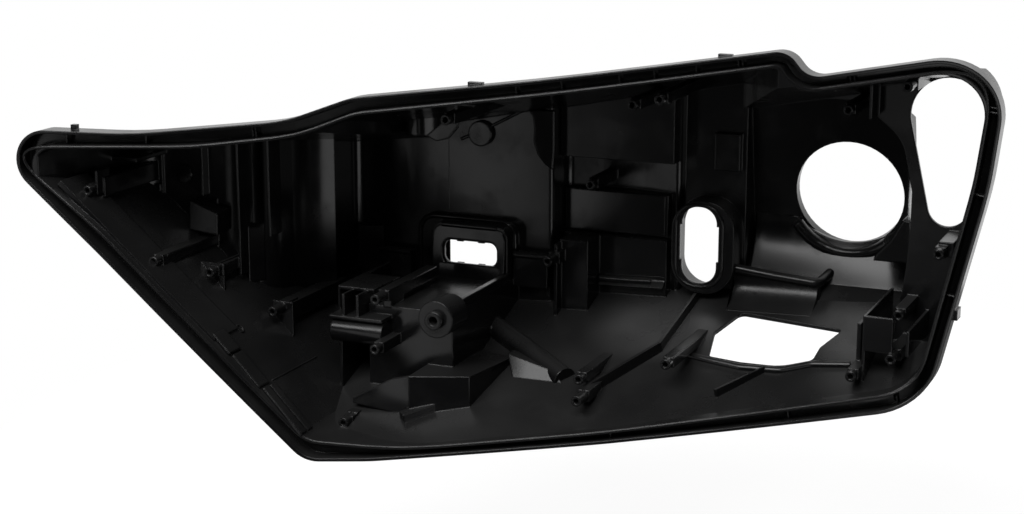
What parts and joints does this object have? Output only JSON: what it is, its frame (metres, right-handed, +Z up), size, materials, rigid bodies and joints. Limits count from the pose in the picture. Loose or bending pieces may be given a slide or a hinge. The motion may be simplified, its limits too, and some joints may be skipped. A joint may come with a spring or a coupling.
{
  "type": "headlamp housing",
  "caption": "Moulded back housing of a car headlamp: a deep wide bowl with a sealing channel round its open front, screw bosses, connector slots and a round service port.",
  "frame": {"origin": "midway between the two rear fixing posts, in the plane of their mouths", "axes": "+Z up, +X along the housing towards the end with the service port, +Y to the rear, so the open front faces -Y"},
  "size_m": [0.6214, 0.3161, 0.2824],
  "materials": {
    "housing_plastic": "black, moulded, semi-gloss"
  },
  "bodies": {
    "root": {"lamp_housing": "housing_plastic"}
  },
  "joints": []
}
